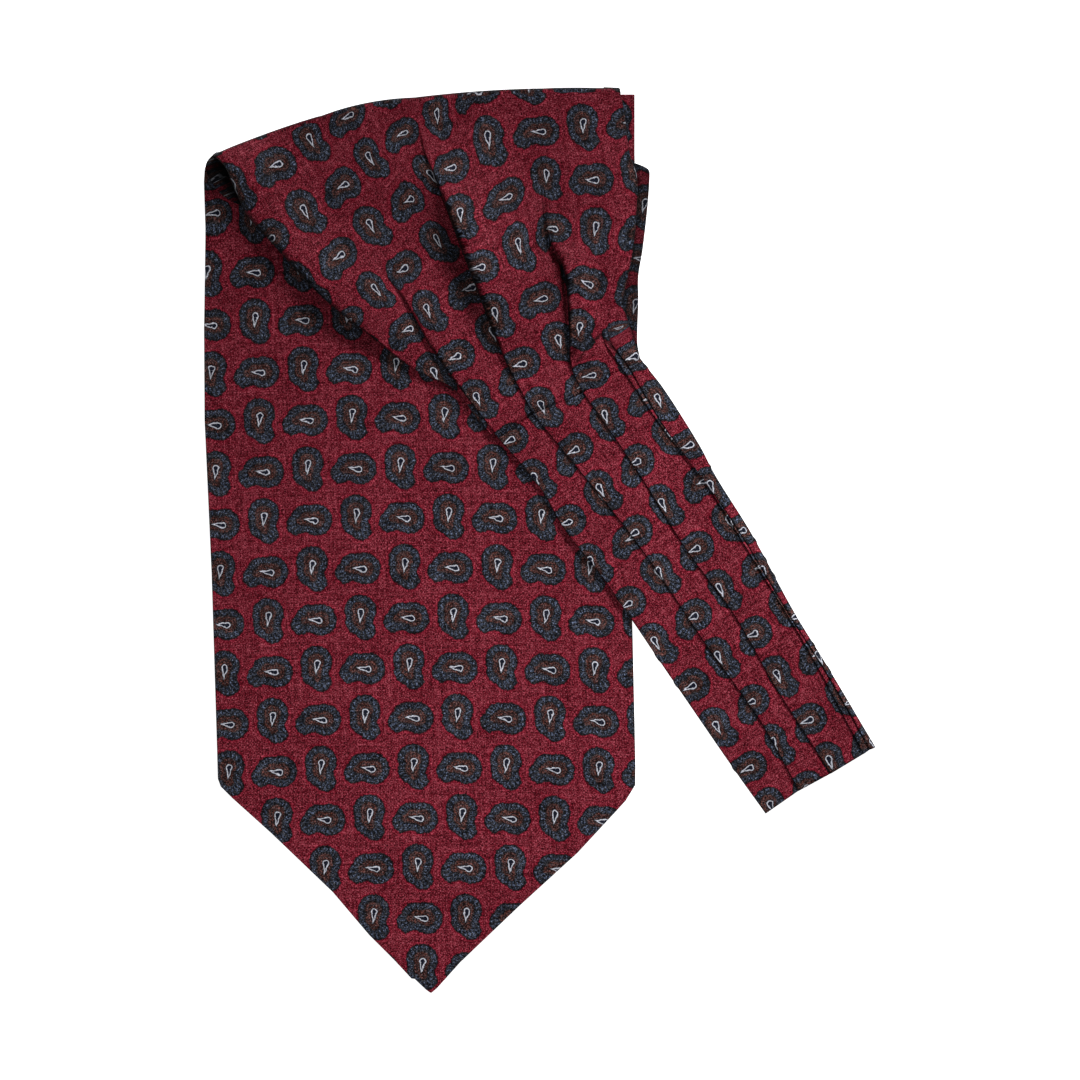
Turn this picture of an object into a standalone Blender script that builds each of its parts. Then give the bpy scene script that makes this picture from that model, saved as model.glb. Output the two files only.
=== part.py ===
"""A silk cravat (ascot), folded in half at the middle of its neckband and laid flat.

Two equal halves lie on each other, the back half underneath.  Each half runs up from the folded
middle of the neckband, opens from its stitched pleats into a fan, turns over at the top and comes
down again as a wide pointed blade beneath the fan.  From the table up, the layers are blade_back,
blade_front, fan_back and fan_front.  Right of the blades the neckband comes down onto the table.

Lengths in the tables are millimetres.  X is to the right, Y runs up the blades, Z is up, and the
origin is under the middle of the whole outline, on the table.
"""
import math

import bmesh
import bpy
from mathutils import Vector

MM = 0.001

# The cloth: a self-lined ply as one wall, and the clear space between layers and at seams.
WALL = 1.0
GAP = 0.3
LAYER = WALL + GAP

BLADE_BACK_Z = 0.0
BLADE_FRONT_Z = LAYER
FAN_BACK_Z = 2 * LAYER
FAN_FRONT_Z = 3 * LAYER

# The back half of the neckband shows this far past the front half's right edge, less and less
# towards the folded middle, where both are one.
NECKBAND_PEEK = 0.8
PEEK_FADE = 8

# Pleats: the height of a pressed fold over the strip beside it, and the run of that step.
PLEAT_HEIGHT = 0.8
PLEAT_RUN = 0.35

# A turned-over end bulges out in half an ellipse of this depth.
TURN_DEPTH = 1.8
TURN_STEPS = 6

# Lift of the loose fan over the layers below it.
FAN_SWELL = 1.2

# The neckband reaches the table past the blades' right edge over this run.
BLADE_RIGHT_EDGE = 37.5
DROP_RUN = 18.0

FAN_ROWS = 22
NECKBAND_ROWS = 34

# Outline of the front blade from its upper left, down the left edge, round the point and up the
# right edge.  x, y
BLADE_FRONT_EDGE = (
    (-129.3, 137.3),
    (-128.8, 119.5),
    (-129.4, 81.0),
    (-129.2, 46.5),
    (-126.5, -12.5),
    (-124.5, -77.0),
    (-124.1, -91.5),
    (-123.0, -94.5),
    (-118.5, -99.0),
    (-103.5, -112.5),
    (-80.0, -135.0),
    (-66.0, -151.5),
    (-49.5, -168.0),
    (-48.5, -168.0),
    (-44.2, -172.5),
    (-42.3, -173.7),
    (-40.0, -172.0),
    (-31.0, -162.0),
    (-9.0, -141.0),
    (14.0, -120.0),
    (32.5, -100.0),
    (36.2, -94.0),
    (36.3, -87.0),
    (35.9, -67.0),
    (35.4, -45.0),
    (35.0, -30.0),
    (35.6, 60.0),
    (36.0, 139.0),
)

# The back blade shows past the front one only at the top right and beside the point.  x, y
BLADE_BACK_EDGE = (
    (-123.4, 145.7),
    (-127.0, 143.0),
    (-129.0, 119.5),
    (-129.2, 81.0),
    (-129.0, 46.5),
    (-126.3, -12.5),
    (-124.3, -77.0),
    (-123.0, -94.0),
    (-103.3, -112.2),
    (-79.8, -134.7),
    (-65.8, -151.2),
    (-49.8, -168.4),
    (-47.5, -168.4),
    (-31.5, -161.0),
    (-9.5, -140.0),
    (13.5, -119.0),
    (32.0, -99.0),
    (35.8, -93.0),
    (35.5, -67.0),
    (34.6, -30.0),
    (35.4, 60.0),
    (36.0, 140.0),
    (36.0, 171.4),
    (31.6, 171.6),
    (29.6, 171.2),
    (4.2, 171.2),
    (-13.0, 170.6),
    (-33.0, 169.7),
    (-54.0, 167.7),
    (-74.0, 164.0),
    (-88.0, 160.0),
    (-103.0, 155.0),
    (-117.0, 149.5),
)

# Fold lines of the front fan, each from the turned-over top down to the seam.  x, y
FAN_LINES = {
    "left": ((-125.5, 147.5), (-119.5, 142.5), (-115.5, 136.5), (-110.0, 124.5), (-103.5, 115.5),
             (-93.0, 102.0), (-81.0, 90.5), (-65.0, 78.0), (-48.5, 65.5), (-34.0, 58.5),
             (-25.0, 47.5), (-18.2, 39.2)),
    "soft": ((-86.0, 162.7), (-73.5, 134.5), (-61.0, 103.5), (-53.0, 92.5), (-43.0, 75.0),
             (-30.4, 57.5), (-17.0, 40.0)),
    "long": ((-49.6, 170.0), (-45.8, 150.5), (-40.0, 136.5), (-28.0, 105.0), (-14.0, 69.5),
             (-3.2, 48.6)),
    "middle": ((-1.2, 173.5), (0.0, 130.5), (2.7, 112.5), (8.3, 95.3), (10.8, 78.8), (11.5, 66.5),
               (16.0, 56.8)),
    "edge": ((21.5, 173.7), (22.0, 142.5), (21.5, 111.5), (22.5, 85.0), (23.5, 77.5), (31.0, 65.8)),
    "hem": ((25.0, 173.7), (26.0, 142.5), (25.5, 111.5), (24.5, 84.0), (26.0, 77.0), (33.2, 67.2)),
    "right": ((30.0, 173.5), (32.0, 164.0), (34.2, 147.5), (36.7, 140.0), (36.8, 129.0),
              (35.3, 111.5), (33.3, 101.5), (31.5, 91.5), (33.0, 85.5), (36.0, 76.0), (38.0, 70.0)),
}

# The same fold lines from the seam down to the folded middle of the neckband.  x, y
NECKBAND_LINES = {
    "soft": ((-17.0, 40.0), (-10.0, 32.0), (-0.5, 20.5), (9.5, 3.5), (23.0, -13.5), (46.0, -47.0),
             (74.5, -88.5), (87.3, -106.4)),
    "long": ((-3.2, 48.6), (36.0, 0.0), (64.0, -41.0), (84.5, -70.0), (99.8, -97.7)),
    "middle": ((16.0, 56.8), (37.5, 25.5), (56.0, -4.0), (74.0, -28.5), (91.0, -58.0),
               (112.2, -91.0)),
    "edge": ((31.0, 65.8), (44.0, 46.5), (63.0, 22.0), (84.5, -12.5), (103.5, -44.0),
             (124.6, -83.6)),
    "hem": ((33.2, 67.2), (47.0, 44.0), (66.5, 17.5), (79.5, -2.0), (94.0, -26.5), (109.0, -50.0),
            (127.2, -81.8)),
    "right": ((38.0, 70.0), (39.5, 68.0), (48.0, 57.0), (61.0, 36.5), (67.0, 25.0), (81.0, 2.5),
              (97.0, -27.0), (111.0, -50.0), (129.5, -81.0)),
}

# The back fan, which shows only as a small flap at the right and a curl at the top left.  x, y
FAN_BACK_LINES = {
    "left": ((-127.8, 139.5), (-125.0, 132.5), (-114.0, 128.0), (-104.0, 113.0), (-93.0, 99.5),
             (-81.0, 88.0), (-65.0, 75.5), (-48.0, 63.0), (-34.0, 56.0), (-24.0, 46.0),
             (-17.0, 40.0)),
    "long": ((-44.0, 140.4), (-28.0, 105.0), (-14.0, 69.5), (-3.2, 48.6)),
    "middle": ((1.0, 141.3), (2.7, 112.5), (8.3, 95.3), (10.8, 78.8), (11.5, 66.5), (16.0, 56.8)),
    "edge": ((22.0, 141.8), (21.5, 111.5), (22.5, 85.0), (23.5, 77.5), (31.0, 65.8)),
    "right": ((41.5, 142.2), (41.0, 129.0), (39.0, 111.5), (37.4, 101.5), (37.4, 91.5),
              (37.0, 76.0), (38.0, 70.0)),
}

# Strips between fold lines.  The fold at a strip's left begins at the share "start" of the way
# down the line, has its pressed height from the share "full" on, and stands up loosely by "puff"
# in between.
# strip's left line, right line, columns, bow of the top edge, start, full, puff
FAN_STRIPS = (
    ("left", "soft", 3, 0.9, 0.0, 0.0, 0.0),
    ("soft", "long", 3, 1.4, 0.38, 0.85, 0.8),
    ("long", "middle", 3, 0.6, 0.02, 0.40, 2.0),
    ("middle", "edge", 3, 0.2, 0.34, 0.95, 1.0),
    ("edge", "hem", 1, 0.0, 0.86, 0.98, 0.0),
    ("hem", "right", 1, 0.0, 0.86, 0.98, 0.0),
)
FAN_BACK_STRIPS = (
    ("left", "long", 3, 0.0, 1.0, 2.0, 0.0),
    ("long", "middle", 2, 0.0, 1.0, 2.0, 0.0),
    ("middle", "edge", 1, 0.0, 1.0, 2.0, 0.0),
    ("edge", "right", 2, 0.0, 1.0, 2.0, 0.0),
)
NECKBAND_STRIPS = (
    ("soft", "long", 2, 0.0, 0.0, 0.0, 0.0),
    ("long", "middle", 2, 0.0, 0.0, 0.0, 0.0),
    ("middle", "edge", 2, 0.0, 0.0, 0.0, 0.0),
    ("edge", "hem", 1, 0.0, 0.0, 0.0, 0.0),
    ("hem", "right", 1, 0.0, 0.0, 0.0, 0.0),
)

CRIMSON = (0.19, 0.012, 0.03, 1.0)
DEEP_CRIMSON = (0.13, 0.009, 0.022, 1.0)


def silk(name, colour):
    """Soft matte silk in one colour."""
    material = bpy.data.materials.new(name)
    material.use_nodes = True
    shader = material.node_tree.nodes["Principled BSDF"]
    shader.inputs["Base Color"].default_value = colour
    shader.inputs["Roughness"].default_value = 0.7
    shader.inputs["Metallic"].default_value = 0.0
    return material


def ease(share):
    """0 to 1 with soft ends."""
    share = min(max(share, 0.0), 1.0)
    return share * share * (3.0 - 2.0 * share)


def along(line, share):
    """The point at a share of a line's length, on a smooth curve through the line's points."""
    points = [Vector(point) for point in line]
    lengths = [(b - a).length for a, b in zip(points, points[1:])]
    target = share * sum(lengths)
    piece = 0
    while piece < len(lengths) - 1 and target > lengths[piece]:
        target -= lengths[piece]
        piece += 1
    t = target / lengths[piece]
    start, end = points[piece], points[piece + 1]
    before = points[max(piece - 1, 0)]
    after = points[min(piece + 2, len(points) - 1)]
    into = (end - before) * lengths[piece] / (end - before).length
    out = (after - start) * lengths[piece] / (after - start).length
    return (start * (2 * t**3 - 3 * t**2 + 1) + into * (t**3 - 2 * t**2 + t)
            + end * (3 * t**2 - 2 * t**3) + out * (t**3 - t**2))


def fold_height(share, start, full, puff):
    """Height of a fold over the strip at its left: pressed from "full" on, loose before that."""
    if full == 0.0:
        return PLEAT_HEIGHT
    loose = min(max((share - start) / (1.0 - start), 0.0), 1.0) if start < 1.0 else 0.0
    pressed = PLEAT_HEIGHT * ease((share - start) / (full - start))
    return pressed + puff * math.sin(math.pi * loose) ** 2


def section(lines, strips, share):
    """One cross-section of a pleated sheet: (place, pleat height) from its left to its right."""
    points = []
    for left_name, right_name, columns, bow, start, full, puff in strips:
        left = along(lines[left_name], share)
        right = along(lines[right_name], share)
        across = (right - left).normalized()
        outward = Vector((-across.y, across.x))
        height = fold_height(share, start, full, puff)
        if not points:
            height = 0.0
            points.append((left, 0.0))
        else:
            points.append((left + across * PLEAT_RUN, height))
        for column in range(1, columns + 1):
            part = column / columns
            place = left.lerp(right, part)
            place += outward * bow * 4.0 * part * (1.0 - part) * (1.0 - share) ** 2
            points.append((place, height * (1.0 - part)))
    return points


def lowered(x, base):
    """Height of a layer's underside: on the blades, then down to the table right of them."""
    to_table = ease((x - BLADE_RIGHT_EDGE) / DROP_RUN)
    return base - FAN_BACK_Z * to_table


def turned_end(first, second, low, high, depth=TURN_DEPTH):
    """Rows that carry a sheet's end round and under itself: its outer and its inner points."""
    rows = []
    half = (high - low) / 2.0
    middle = (high + low) / 2.0
    for step in range(TURN_STEPS):
        angle = math.pi * (step / TURN_STEPS - 0.5)
        outer, inner = [], []
        for (edge, _), (inside, _) in zip(first, second):
            inward = (inside - edge).normalized()
            for points, reach, rise in ((outer, depth, half), (inner, depth - WALL, half - WALL)):
                place = edge + inward * (depth - reach * math.cos(angle))
                points.append((place.x, place.y, middle + rise * math.sin(angle)))
        rows.append((outer, inner))
    return rows


def sheet_solid(name, rows, colour):
    """A closed wall whose two faces go through the rows' outer and inner points."""
    columns = len(rows[0][0])
    bm = bmesh.new()
    bmesh.ops.create_grid(bm, x_segments=columns - 1, y_segments=len(rows) - 1, size=0.5)
    place = bm.verts.layers.int.new("place")
    ordered = sorted(bm.verts, key=lambda vert: (round(vert.co.y, 5), round(vert.co.x, 5)))
    for number, vert in enumerate(ordered):
        vert[place] = number
    wall = bmesh.ops.extrude_face_region(bm, geom=bm.faces[:])
    inner_side = {item for item in wall["geom"] if isinstance(item, bmesh.types.BMVert)}
    for vert in bm.verts:
        row, column = divmod(vert[place], columns)
        outer, inner = rows[row]
        vert.co = Vector((inner if vert in inner_side else outer)[column]) * MM
    bmesh.ops.triangulate(bm, faces=bm.faces[:])
    return finished(name, bm, colour)


def blade_solid(name, edge, base, colour):
    """A flat blade: its outline raised by the cloth's wall."""
    bm = bmesh.new()
    verts = [bm.verts.new((x * MM, y * MM, base * MM)) for x, y in edge]
    face = bm.faces.new(verts)
    raised = bmesh.ops.extrude_face_region(bm, geom=[face])
    top = [item for item in raised["geom"] if isinstance(item, bmesh.types.BMVert)]
    bmesh.ops.translate(bm, verts=top, vec=(0.0, 0.0, WALL * MM))
    bmesh.ops.triangulate(bm, faces=bm.faces[:])
    return finished(name, bm, colour)


def finished(name, bm, colour):
    """Turn a bmesh into a named object with its own silk."""
    bmesh.ops.recalc_face_normals(bm, faces=bm.faces[:])
    mesh = bpy.data.meshes.new(name)
    bm.to_mesh(mesh)
    bm.free()
    mesh.shade_smooth()
    mesh.set_sharp_from_angle(angle=math.radians(35))
    mesh.materials.append(silk(name + "_silk", colour))
    thing = bpy.data.objects.new(name, mesh)
    bpy.context.collection.objects.link(thing)
    return thing


def layer_row(points, base, swell=0.0):
    """Outer and inner points of one cross-section lying at a layer's height."""
    outer, inner = [], []
    last = len(points) - 1
    for number, (place, pleat) in enumerate(points):
        lift = swell * math.sin(math.pi * number / last)
        hollow = max(0.0, pleat - PLEAT_HEIGHT)
        under = lowered(place.x, base) + lift + hollow
        outer.append((place.x, place.y, under - hollow + WALL + pleat))
        inner.append((place.x, place.y, under))
    return outer, inner


def fan(name, lines, strips, base, turn_low, swell, colour):
    """A fan from its turned-over top to the seam with the neckband."""
    sections = [section(lines, strips, row / FAN_ROWS) for row in range(FAN_ROWS + 1)]
    rows = turned_end(sections[0], sections[1], turn_low, base + WALL)
    top = [(edge + (inside - edge).normalized() * TURN_DEPTH, pleat)
           for (edge, pleat), (inside, _) in zip(sections[0], sections[1])]
    rows.append(layer_row(top, base))
    for row in range(1, FAN_ROWS + 1):
        lift = swell * math.sin(math.pi * row / FAN_ROWS)
        rows.append(layer_row(sections[row], base, lift))
    return sheet_solid(name, rows, colour)


def neckband_shares():
    """Even shares of the way down the neckband, clear of the seam and of the turned end."""
    line = NECKBAND_LINES["right"]
    length = sum((Vector(b) - Vector(a)).length for a, b in zip(line, line[1:]))
    first = GAP / length
    last = 1.0 - (TURN_DEPTH + GAP) / length
    return [first + (last - first) * row / NECKBAND_ROWS for row in range(NECKBAND_ROWS + 1)]


def neckband_back(name, colour):
    """The lower half of the neckband: a plain wall under the pleats."""
    rows = []
    for share in neckband_shares():
        flat = [(place, 0.0) for place, _ in section(NECKBAND_LINES, NECKBAND_STRIPS, share)]
        rows.append(layer_row(flat, FAN_BACK_Z))
    return sheet_solid(name, rows, colour)


def neckband_front(name, colour):
    """The upper half of the neckband, with its pleats, turned under at the folded middle."""
    sections = []
    for share in neckband_shares() + [1.0]:
        points = section(NECKBAND_LINES, NECKBAND_STRIPS, share)
        last, pleat = points[-1]
        inward = (points[-2][0] - last).normalized()
        points[-1] = (last + inward * NECKBAND_PEEK * (1.0 - share**PEEK_FADE), pleat)
        sections.append(points)
    end, before = sections[-1], sections[-3]
    shoulder = []
    for (edge, pleat), (inside, _) in zip(end, before):
        shoulder.append((edge + (inside - edge).normalized() * TURN_DEPTH, pleat))
    rows = [layer_row(points, FAN_FRONT_Z) for points in sections[:-2]]
    rows.append(layer_row(shoulder, FAN_FRONT_Z))
    table_top = FAN_FRONT_Z - FAN_BACK_Z + WALL
    rows += reversed(turned_end(end, before, BLADE_BACK_Z, table_top))
    return sheet_solid(name, rows, colour)


def build():
    for thing in list(bpy.data.objects):
        bpy.data.objects.remove(thing, do_unlink=True)
    blade_solid("blade_back", BLADE_BACK_EDGE, BLADE_BACK_Z, DEEP_CRIMSON)
    blade_solid("blade_front", BLADE_FRONT_EDGE, BLADE_FRONT_Z, CRIMSON)
    fan("fan_back", FAN_BACK_LINES, FAN_BACK_STRIPS, FAN_BACK_Z, BLADE_FRONT_Z, 0.0, DEEP_CRIMSON)
    fan("fan_front", FAN_LINES, FAN_STRIPS, FAN_FRONT_Z, BLADE_BACK_Z, FAN_SWELL, CRIMSON)
    neckband_back("neckband_back", DEEP_CRIMSON)
    neckband_front("neckband_front", CRIMSON)


build()
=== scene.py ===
"""A silk cravat, folded in half at the middle of its neckband and laid on a pale table.

Each layer of cloth is a thin sheet in the place of its solid: two self-lined blades, the two fans
that turn over at the top and narrow into stitched pleats, and the two halves of the neckband.

Lengths in the tables are millimetres: x to the right, y up the blades, z up from the table.
The cloth's own coordinates, kept in each piece's UV map, count the printed motifs: u is a motif's
column and minus v its row, so that every motif is centred on whole numbers.
"""
import math

import bmesh
import bpy
import numpy as np
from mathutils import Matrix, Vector


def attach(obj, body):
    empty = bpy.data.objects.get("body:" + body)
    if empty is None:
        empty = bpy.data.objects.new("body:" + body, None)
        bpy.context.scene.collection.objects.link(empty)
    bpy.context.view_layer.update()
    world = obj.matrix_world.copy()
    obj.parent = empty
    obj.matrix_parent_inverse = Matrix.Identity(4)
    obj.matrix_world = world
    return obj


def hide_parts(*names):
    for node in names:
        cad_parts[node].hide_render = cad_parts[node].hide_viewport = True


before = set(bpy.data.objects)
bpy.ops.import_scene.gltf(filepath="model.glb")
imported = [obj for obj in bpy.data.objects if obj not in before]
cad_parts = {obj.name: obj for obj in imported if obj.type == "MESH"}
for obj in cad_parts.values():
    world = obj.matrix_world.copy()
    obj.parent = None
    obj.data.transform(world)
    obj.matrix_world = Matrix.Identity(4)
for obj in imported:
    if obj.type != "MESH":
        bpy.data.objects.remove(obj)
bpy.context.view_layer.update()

MM = 0.001

# ------------------------------------------------
# Sizes
# ------------------------------------------------

# One thickness of silk, and a self-lined blade with its turned edges.
PLY = 0.35
BLADE = 1.0
BLADE_BACK_Z = 0.0
BLADE_FRONT_Z = 1.3

# Upper faces of the fans and of the neckband halves where they lie flat on the blades.
FAN_BACK_Z = 3.2
FAN_FRONT_Z = 4.1
NECKBAND_BACK_Z = 3.3
NECKBAND_FRONT_Z = 4.1

# The neckband comes down to the table past the blades' right edge.
BLADE_RIGHT_EDGE = 37.5
DROP_RUN = 18.0
DROP = 2.6

# How far the fans reach in under the neckband at the seam, and how far the front fan's last two
# rows go down into its stitching.
SEAM_LAP = 0.8
SEAM_SINK = (0.08, 0.5)

# The front fan's turned-over top: how far in its turn reaches, and its length down to the seam.
TURN_DEPTH = 1.8
FAN_LENGTH = 130.0

# Rows down each sheet, and the shares of its fold lines between which the neckband is made.
ROWS = 150
FAN_BACK_ROWS = 90
NECKBAND_SPAN = (0.0016, 0.9905)

# A blade: the step between its rows, its columns, where its outermost columns lie, and the
# rounding of its edges.
BLADE_ROW_STEP = 1.6
BLADE_COLUMNS = 90
BLADE_HEM = (0.002, 0.998)
BLADE_ROUNDING = 0.4

# How tightly a flat sheet's edge is rolled under: the radius of its turn.
EDGE_ROLL = 0.38

# A knife pleat: its depth under the strip, its pressed height, and the space between the run
# under and the return.
PLEAT_DEPTH = 15.0
PLEAT_HEIGHT = 0.78
PLEAT_SPACE = 0.04
PLEAT_START_WIDTH = 1.6
PLEAT_SHARE_OF_STRIP = 0.85

# Motif lattice of the print: distance between columns and between rows.
COLUMN_PITCH = 17.8
ROW_PITCH = 19.3

# On the front blade: one motif's place, how far columns drift right going down, the bow of the
# rows and where that bow is lowest.
BLADE_MOTIF = (-86.5, -49.4)
BLADE_COLUMN_PITCH = 17.77
BLADE_ROW_PITCH = 19.21
BLADE_DRIFT = 0.044
BLADE_BOW = 3.9e-4
BLADE_BOW_CENTRE = -38.8

# ------------------------------------------------
# Shapes of the layers
# ------------------------------------------------

# Outline of the front blade: down the left edge to the point, and down the right edge.  x, y
BLADE_FRONT_LEFT = (
    (-125.8, 147.6), (-127.9, 145.2), (-129.0, 142.6), (-129.3, 137.3), (-128.8, 119.5),
    (-129.4, 81.0), (-129.2, 46.5), (-126.5, -12.5), (-124.5, -77.0), (-124.1, -91.5),
    (-123.0, -94.5), (-118.5, -99.0), (-103.5, -112.5), (-80.0, -135.0), (-66.0, -151.5),
    (-49.5, -168.0), (-48.5, -168.4), (-44.2, -172.5), (-42.5, -173.7),
)
BLADE_FRONT_RIGHT = (
    (36.0, 147.6), (36.0, 139.0), (35.6, 60.0), (35.0, -30.0), (35.4, -45.0), (35.9, -67.0),
    (36.3, -87.0), (36.2, -94.0), (32.5, -100.0), (14.0, -120.0), (-9.0, -141.0), (-31.0, -162.0),
    (-40.0, -172.0), (-42.0, -173.7),
)
BLADE_BACK_LEFT = (
    (4.0, 171.4), (-33.0, 169.7), (-54.0, 167.7), (-74.0, 164.0), (-88.0, 160.0), (-103.0, 155.0),
    (-117.0, 149.5), (-123.4, 145.7), (-127.0, 143.0), (-129.0, 119.5), (-129.2, 81.0),
    (-129.0, 46.5), (-126.3, -12.5), (-124.3, -77.0), (-123.0, -94.0), (-103.3, -112.2),
    (-79.8, -134.7), (-65.8, -151.2), (-49.8, -168.4), (-49.0, -168.5),
)
BLADE_BACK_RIGHT = (
    (36.0, 171.4), (36.0, 140.0), (35.4, 60.0), (34.6, -30.0), (35.5, -67.0), (35.8, -93.0),
    (32.0, -99.0), (13.5, -119.0), (-9.5, -140.0), (-31.5, -161.0), (-46.5, -168.5),
)

# Fold lines of the front fan, each from the turned-over top down to the seam.  x, y
FAN_LINES = {
    "left": ((-125.5, 147.5), (-120.5, 142.5), (-117.0, 134.0), (-112.6, 124.5), (-105.0, 116.0),
             (-93.0, 102.5), (-81.0, 90.5), (-65.0, 78.0), (-48.5, 65.5), (-34.0, 58.5),
             (-25.0, 47.5), (-18.2, 39.2)),
    "soft": ((-86.0, 162.7), (-73.5, 134.5), (-61.0, 103.5), (-53.0, 92.5), (-43.0, 75.0),
             (-30.4, 57.5), (-17.0, 40.0)),
    "long": ((-49.6, 170.0), (-45.8, 150.5), (-40.0, 136.5), (-28.0, 105.0), (-14.0, 69.5),
             (-3.2, 48.6)),
    "middle": ((-1.2, 173.5), (0.2, 130.5), (1.5, 119.5), (3.6, 112.8), (7.2, 107.0), (9.2, 101.0),
               (10.0, 95.3), (10.8, 80.0), (11.5, 66.5), (16.0, 56.8)),
    "edge": ((21.5, 173.7), (22.0, 142.5), (21.5, 111.5), (22.5, 85.0), (23.5, 77.5), (31.0, 65.8)),
    "hem": ((25.0, 173.7), (26.0, 142.5), (25.5, 111.5), (24.5, 84.0), (26.0, 77.0), (33.2, 67.2)),
    "right": ((30.0, 173.5), (32.0, 164.0), (34.2, 147.5), (36.7, 140.0), (36.8, 129.0),
              (35.3, 111.5), (33.3, 101.5), (31.5, 91.5), (33.0, 85.5), (36.0, 76.0), (38.0, 70.0)),
}

# The same fold lines from the seam down to the folded middle of the neckband.  x, y
NECKBAND_LINES = {
    "soft": ((-17.0, 40.0), (-10.0, 32.0), (-0.5, 20.5), (9.5, 3.5), (23.0, -13.5), (46.0, -47.0),
             (74.5, -88.5), (87.3, -106.4)),
    "long": ((-3.2, 48.6), (36.0, 0.0), (64.0, -41.0), (84.5, -70.0), (99.8, -97.7)),
    "middle": ((16.0, 56.8), (37.5, 25.5), (56.0, -4.0), (74.0, -28.5), (91.0, -58.0),
               (112.2, -91.0)),
    "edge": ((31.0, 65.8), (44.0, 46.5), (63.0, 22.0), (84.5, -12.5), (103.5, -44.0),
             (124.6, -83.6)),
    "hem": ((33.2, 67.2), (47.0, 44.0), (66.5, 17.5), (79.5, -2.0), (94.0, -26.5), (109.0, -50.0),
            (127.2, -81.8)),
    "right": ((38.0, 70.0), (39.5, 68.0), (48.0, 57.0), (61.0, 36.5), (67.0, 25.0), (81.0, 2.5),
              (97.0, -27.0), (111.0, -50.0), (129.5, -81.0)),
}

# The back fan, which shows as a small flap at the right and a curl at the top left.  x, y
FAN_BACK_LINES = {
    "left": ((-121.0, 139.5), (-117.0, 136.0), (-108.0, 126.0), (-99.0, 113.0), (-88.0, 99.5),
             (-76.0, 88.0), (-60.0, 75.5), (-45.0, 64.0), (-30.0, 55.0), (-20.5, 46.5),
             (-15.0, 41.0)),
    "long": ((-44.0, 140.4), (-28.0, 105.0), (-14.0, 69.5), (-3.2, 48.6)),
    "right": ((36.2, 144.8), (39.3, 143.6), (41.4, 142.2), (41.7, 140.0), (41.0, 129.0),
              (39.0, 111.5), (37.4, 101.5), (37.4, 91.5), (37.0, 76.0), (38.0, 70.0)),
}

# Columns of motifs as they run down the strips: column number, then each motif's x, y, row.
MOTIF_COLUMNS = {
    -1: ((-102.3, 143.8, 0), (-90.1, 124.8, 1), (-78.1, 108.4, 2), (-62.5, 94.9, 3),
         (-51.6, 80.8, 4), (-40.5, 62.8, 5)),
    0: ((-88.1, 152.3, 0), (-65.0, 119.6, 2), (-43.3, 87.0, 4), (-24.3, 53.3, 6),
        (-2.0, 22.7, 8), (19.6, -9.7, 10), (44.3, -40.4, 12), (67.8, -72.7, 14),
        (88.6, -103.2, 16)),
    1: ((-74.8, 162.2, 0), (-65.5, 145.3, 1), (-51.3, 130.8, 2), (-40.0, 115.5, 3),
        (-30.8, 98.2, 4), (-21.8, 81.1, 5)),
    3: ((-39.9, 161.5, 1), (-31.0, 123.2, 3), (-17.4, 85.3, 5), (0.5, 50.2, 7), (23.0, 18.4, 9),
        (45.6, -13.6, 11), (68.4, -45.9, 13), (89.6, -79.1, 15)),
    4: ((-20.7, 153.3, 2), (-14.4, 132.8, 3), (-9.2, 114.3, 4), (-1.2, 95.0, 5), (5.5, 76.3, 6)),
    5: ((-1.6, 157.0, 2), (1.8, 139.1, 3), (3.2, 120.1, 4)),
    6: ((15.8, 158.1, 2), (20.5, 118.5, 4), (14.2, 80.2, 6), (24.6, 46.6, 8), (46.9, 12.6, 10),
        (69.0, -19.9, 12), (91.0, -53.0, 14), (111.0, -86.0, 16)),
    8: ((34.2, 70.1, 7), (45.2, 52.8, 8), (65.5, 19.7, 10), (85.7, -13.2, 12), (107.0, -46.0, 14),
        (128.0, -79.0, 16)),
}

# Columns that the cloth is counted by where it isn't pleated.
SPREAD_COLUMNS = (-1, 0, 1, 3, 4, 5, 6)

# Strips between fold lines.  The fold at a strip's left begins at the share "start" of the way
# down the line, is pressed flat from "full" on, and stands up loosely by "puff" in between,
# highest past the middle where "skew" is over 1.
# strip's left line, right line, steps across, motif column, bow of the top, start, full, puff, skew
FAN_STRIPS = (
    ("left", "soft", 40, -1, 0.9, 0.0, 0.0, 0.0, 1.0),
    ("soft", "long", 34, 0, 1.4, 0.38, 0.85, 2.0, 1.0),
    ("long", "middle", 50, 3, 0.6, 0.04, 0.45, 4.6, 0.95),
    ("middle", "edge", 28, 6, 0.2, 0.40, 0.66, 3.6, 0.85),
    ("edge", "hem", 5, 6, 0.0, 0.83, 0.93, 0.0, 1.0),
    ("hem", "right", 10, 8, 0.0, 0.84, 0.95, 0.0, 1.0),
)
NECKBAND_STRIPS = (
    ("soft", "long", 24, 0, 0.0, 0.0, 0.0, 0.0, 1.0),
    ("long", "middle", 24, 3, 0.0, 0.0, 0.0, 0.0, 1.0),
    ("middle", "edge", 24, 6, 0.0, 0.0, 0.0, 0.0, 1.0),
    ("edge", "hem", 6, 6, 0.0, 0.0, 0.0, 0.0, 1.0),
    ("hem", "right", 12, 8, 0.0, 0.0, 0.0, 0.0, 1.0),
)
FAN_BACK_STRIPS = (
    ("left", "long", 40, 0, 0.0, 2.0, 3.0, 0.0, 1.0),
    ("long", "right", 40, 3, 0.0, 2.0, 3.0, 0.0, 1.0),
)

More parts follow.
